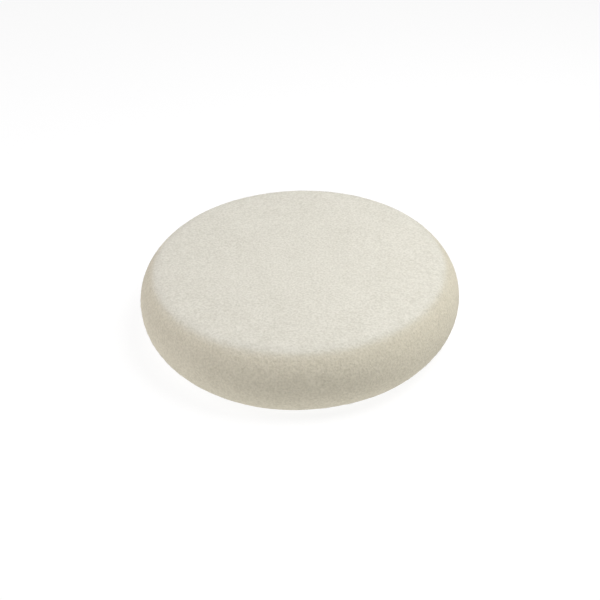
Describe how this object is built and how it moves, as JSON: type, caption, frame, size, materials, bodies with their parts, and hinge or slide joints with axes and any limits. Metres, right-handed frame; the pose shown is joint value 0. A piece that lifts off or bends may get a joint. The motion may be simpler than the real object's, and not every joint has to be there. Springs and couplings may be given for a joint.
{
  "type": "felt polishing wheel",
  "caption": "Thick round pressed-wool polishing wheel with a rounded rim and a recessed backing plate with a blind threaded hub.",
  "frame": {"origin": "centre of the flat back face, which is also the wheel's lowest plane as it lies on its back", "axes": "+Z along the wheel's axis, out of the flat working face; the threaded hole opens towards -Z"},
  "size_m": [0.1524, 0.1524, 0.0349],
  "materials": {
    "felt": "matte",
    "adhesive": "satin",
    "fibre_plate": "satin",
    "hub_steel": "satin",
    "rivet_brass": "satin",
    "washer_brass": "satin"
  },
  "bodies": {
    "root": {"felt_body": "felt", "adhesive_layer": "adhesive", "backing_plate": "fibre_plate", "threaded_hub": "hub_steel", "hub_rivets": "rivet_brass", "rivet_washers": "washer_brass"}
  },
  "joints": []
}
